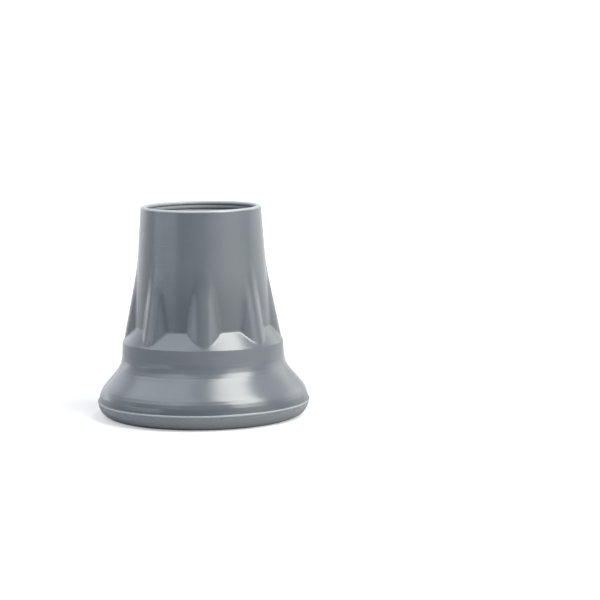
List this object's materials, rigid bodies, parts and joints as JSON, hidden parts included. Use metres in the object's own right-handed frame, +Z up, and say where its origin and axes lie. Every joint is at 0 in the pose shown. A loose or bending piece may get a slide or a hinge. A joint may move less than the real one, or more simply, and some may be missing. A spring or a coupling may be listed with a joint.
{
  "type": "rubber cane tip",
  "caption": "Round rubber foot that presses onto the end of a cane, with a ribbed socket, a flared bell and a lugged tread sole.",
  "frame": {"origin": "centre of the sole, on the floor that the tip stands on", "axes": "+Z up the socket's axis towards the mouth, -Y through the middle of one rib"},
  "size_m": [0.0438, 0.0438, 0.0432],
  "materials": {
    "grey_rubber": "satin"
  },
  "bodies": {
    "root": {"cane_tip": "grey_rubber"}
  },
  "joints": []
}
